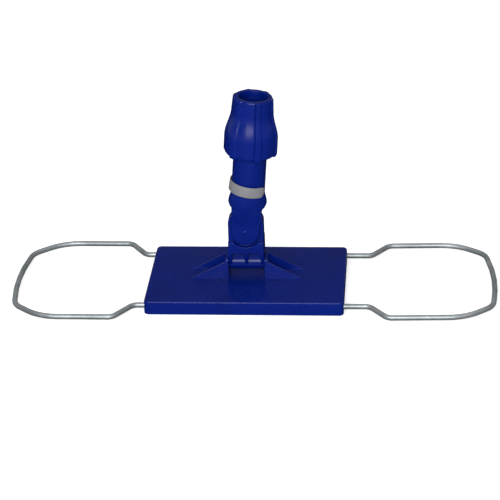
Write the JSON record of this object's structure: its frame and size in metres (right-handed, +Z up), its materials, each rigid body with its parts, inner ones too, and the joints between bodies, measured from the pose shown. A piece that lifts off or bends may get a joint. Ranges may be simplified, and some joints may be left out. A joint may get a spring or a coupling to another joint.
{
  "type": "dust mop frame",
  "caption": "Flat dust-mop frame: blue plastic plate with two sliding wire loops, a two-way swivel joint and a handle socket with a screw-down clamp collar.",
  "frame": {"origin": "middle of the plate's flat underside, on the floor", "axes": "+X along the plate and the wire loops, -Y towards the viewer's side of the plate, +Z up; the socket stands up the +Z side"},
  "size_m": [0.454, 0.1582, 0.194],
  "materials": {
    "blue_plastic": "gloss",
    "zinc_wire": "satin",
    "pin_steel": "satin",
    "screw_steel": "satin",
    "grey_plastic": "matte"
  },
  "bodies": {
    "plate": {"base_plate": "blue_plastic", "base_cover": "blue_plastic", "cover_screws": "screw_steel", "lower_hinge_pin": "pin_steel"},
    "loop_left": {"wire_loop_left": "zinc_wire"},
    "loop_right": {"wire_loop_right": "zinc_wire"},
    "knuckle": {"knuckle": "blue_plastic"},
    "socket": {"handle_socket": "blue_plastic", "upper_hinge_pin": "pin_steel"},
    "sleeve": {"collet_sleeve": "blue_plastic"},
    "collar": {"clamp_collar": "blue_plastic"},
    "ring": {"clip_ring": "grey_plastic"}
  },
  "joints": [
    {"name": "swivel_fore_aft", "type": "hinge", "parent": "plate", "child": "knuckle", "pos_m": [0, 0, 0.0265], "axis": [1, 0, 0], "range_deg": [-75, 75]},
    {"name": "swivel_side", "type": "hinge", "parent": "knuckle", "child": "socket", "pos_m": [0, 0, 0.0613], "axis": [0, 1, 0], "range_deg": [-64, 55]},
    {"name": "left_loop_slide", "type": "slide", "parent": "plate", "child": "loop_left", "axis": [-1, 0, 0], "range_m": [-0.006, 0.036]},
    {"name": "right_loop_slide", "type": "slide", "parent": "plate", "child": "loop_right", "axis": [1, 0, 0], "range_m": [-0.019, 0.023]},
    {"name": "collar_turn", "type": "hinge", "parent": "sleeve", "child": "collar", "pos_m": [0.00706, 0, 0.15102], "axis": [0.0785, 0, 0.9969], "range_deg": [0, 360]},
    {"name": "sleeve_slide", "type": "slide", "parent": "socket", "child": "sleeve", "axis": [0.0785, 0, 0.9969], "range_m": [0, 0.004]},
    {"name": "clip_ring_turn", "type": "hinge", "parent": "socket", "child": "ring", "pos_m": [0.00339, 0, 0.10437], "axis": [0.0785, 0, 0.9969], "continuous": true}
  ],
  "couplings": [
    {"joint": "sleeve_slide", "follows": "collar_turn", "m_per_rad": 0.00063662}
  ]
}
